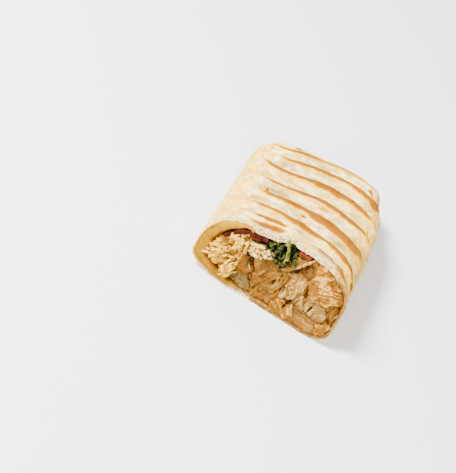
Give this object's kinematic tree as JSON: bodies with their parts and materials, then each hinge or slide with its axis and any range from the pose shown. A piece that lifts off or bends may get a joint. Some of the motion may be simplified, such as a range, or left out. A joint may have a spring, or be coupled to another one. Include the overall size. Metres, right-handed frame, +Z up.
{
  "type": "chicken wrap half",
  "caption": "Half of a grilled tortilla wrap, cut on a slant, filled with chicken, cheese, bacon and lettuce, lying on its flat underside.",
  "frame": {"origin": "on the ground, under the middle of the half's bounding box", "axes": "+Z up, -Y out of the cut end, +Y towards the folded end, +X to the right seen from the cut end"},
  "size_m": [0.0889, 0.1296, 0.0429],
  "materials": {
    "tortilla": "matte",
    "cheese": "satin",
    "chicken": "matte",
    "bacon": "satin",
    "lettuce": "satin",
    "onion": "satin"
  },
  "bodies": {
    "root": {"bacon_left": "bacon", "bacon_right": "bacon", "cheese": "cheese", "chicken_bit_right": "chicken", "chicken_brown_left": "chicken", "chicken_chunk_low": "chicken", "chicken_chunk_middle": "chicken", "chicken_chunk_right": "chicken", "chicken_core": "chicken", "chicken_curl_right": "chicken", "chicken_grey_middle": "chicken", "chicken_low_middle": "chicken", "chicken_pink_right": "chicken", "chicken_shred_left": "chicken", "chicken_shred_low": "chicken", "chicken_shred_upper": "chicken", "chicken_slice": "chicken", "chicken_sliver_right": "chicken", "chicken_strand": "chicken", "chicken_strip_middle": "chicken", "chicken_tan_right": "chicken", "chicken_white_top": "chicken", "lettuce_leaf": "lettuce", "lettuce_leaf_under": "lettuce", "onion": "onion", "tortilla": "tortilla"}
  },
  "joints": []
}
